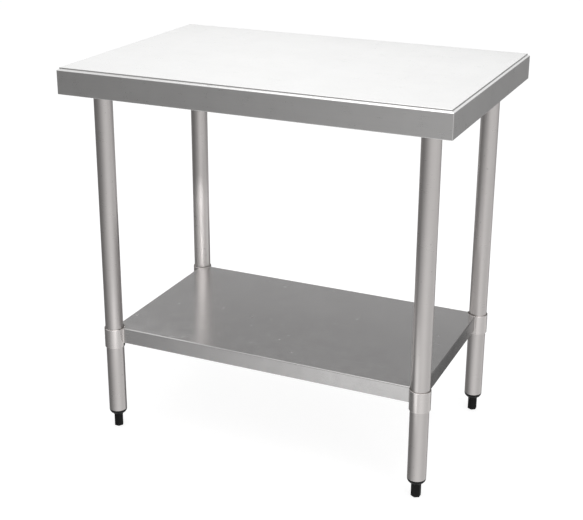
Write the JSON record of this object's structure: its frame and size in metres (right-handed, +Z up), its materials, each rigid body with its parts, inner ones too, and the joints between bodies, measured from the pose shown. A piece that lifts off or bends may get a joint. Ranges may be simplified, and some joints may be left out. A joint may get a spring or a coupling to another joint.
{
  "type": "work table",
  "caption": "Stainless steel work table: folded sheet top, round tube legs, a sheet undershelf that slides on collars, and screw-in levelling feet.",
  "frame": {"origin": "on the floor, under the middle of the table", "axes": "+X to the right along the width, +Y to the back, +Z up; the front faces -Y"},
  "size_m": [0.9, 0.6, 0.9],
  "materials": {
    "worktop_steel": "brushed along the length, bright",
    "shelf_steel": "smooth, half mirror",
    "leg_steel": "satin, fine grain round the tube",
    "collar_steel": "polished by hand after welding",
    "channel_steel": "dull mill finish",
    "zinc_plate": "bright zinc plate",
    "insert_plastic": "moulded, fine texture",
    "foot_plastic": "moulded, fine texture"
  },
  "bodies": {
    "table_frame": {"worktop": "worktop_steel", "left_cross_channel": "channel_steel", "right_cross_channel": "channel_steel", "long_channel": "channel_steel", "front_left_leg_socket": "channel_steel", "front_right_leg_socket": "channel_steel", "back_left_leg_socket": "channel_steel", "back_right_leg_socket": "channel_steel", "leg_set_screws": "zinc_plate", "front_left_leg": "leg_steel", "front_right_leg": "leg_steel", "back_left_leg": "leg_steel", "back_right_leg": "leg_steel", "front_left_foot_insert": "insert_plastic", "front_right_foot_insert": "insert_plastic", "back_left_foot_insert": "insert_plastic", "back_right_foot_insert": "insert_plastic", "front_left_foot_nut": "zinc_plate", "front_right_foot_nut": "zinc_plate", "back_left_foot_nut": "zinc_plate", "back_right_foot_nut": "zinc_plate"},
    "undershelf": {"shelf": "shelf_steel", "shelf_channel": "channel_steel", "front_left_shelf_collar": "collar_steel", "front_right_shelf_collar": "collar_steel", "back_left_shelf_collar": "collar_steel", "back_right_shelf_collar": "collar_steel", "shelf_set_screws": "zinc_plate"},
    "front_left_stud": {"front_left_foot_stud": "zinc_plate"},
    "front_left_hex_foot": {"front_left_foot": "foot_plastic"},
    "front_right_stud": {"front_right_foot_stud": "zinc_plate"},
    "front_right_hex_foot": {"front_right_foot": "foot_plastic"},
    "back_left_stud": {"back_left_foot_stud": "zinc_plate"},
    "back_left_hex_foot": {"back_left_foot": "foot_plastic"},
    "back_right_stud": {"back_right_foot_stud": "zinc_plate"},
    "back_right_hex_foot": {"back_right_foot": "foot_plastic"}
  },
  "joints": [
    {"name": "shelf_height", "type": "slide", "parent": "table_frame", "child": "undershelf", "axis": [0, 0, 1], "range_m": [-0.15, 0.55]},
    {"name": "front_left_foot_travel", "type": "slide", "parent": "table_frame", "child": "front_left_stud", "axis": [0, 0, -1], "range_m": [0, 0.02]},
    {"name": "front_left_foot_turn", "type": "hinge", "parent": "front_left_stud", "child": "front_left_hex_foot", "pos_m": [-0.384, -0.222, 0.017], "axis": [0, 0, -1], "range_deg": [0, 4800]},
    {"name": "front_right_foot_travel", "type": "slide", "parent": "table_frame", "child": "front_right_stud", "axis": [0, 0, -1], "range_m": [0, 0.02]},
    {"name": "front_right_foot_turn", "type": "hinge", "parent": "front_right_stud", "child": "front_right_hex_foot", "pos_m": [0.384, -0.222, 0.017], "axis": [0, 0, -1], "range_deg": [0, 4800]},
    {"name": "back_left_foot_travel", "type": "slide", "parent": "table_frame", "child": "back_left_stud", "axis": [0, 0, -1], "range_m": [0, 0.02]},
    {"name": "back_left_foot_turn", "type": "hinge", "parent": "back_left_stud", "child": "back_left_hex_foot", "pos_m": [-0.384, 0.222, 0.017], "axis": [0, 0, -1], "range_deg": [0, 4800]},
    {"name": "back_right_foot_travel", "type": "slide", "parent": "table_frame", "child": "back_right_stud", "axis": [0, 0, -1], "range_m": [0, 0.02]},
    {"name": "back_right_foot_turn", "type": "hinge", "parent": "back_right_stud", "child": "back_right_hex_foot", "pos_m": [0.384, 0.222, 0.017], "axis": [0, 0, -1], "range_deg": [0, 4800]}
  ],
  "couplings": [
    {"joint": "front_left_foot_turn", "follows": "front_left_foot_travel", "rad_per_m": 4188.8},
    {"joint": "front_right_foot_turn", "follows": "front_right_foot_travel", "rad_per_m": 4188.8},
    {"joint": "back_left_foot_turn", "follows": "back_left_foot_travel", "rad_per_m": 4188.8},
    {"joint": "back_right_foot_turn", "follows": "back_right_foot_travel", "rad_per_m": 4188.8}
  ]
}
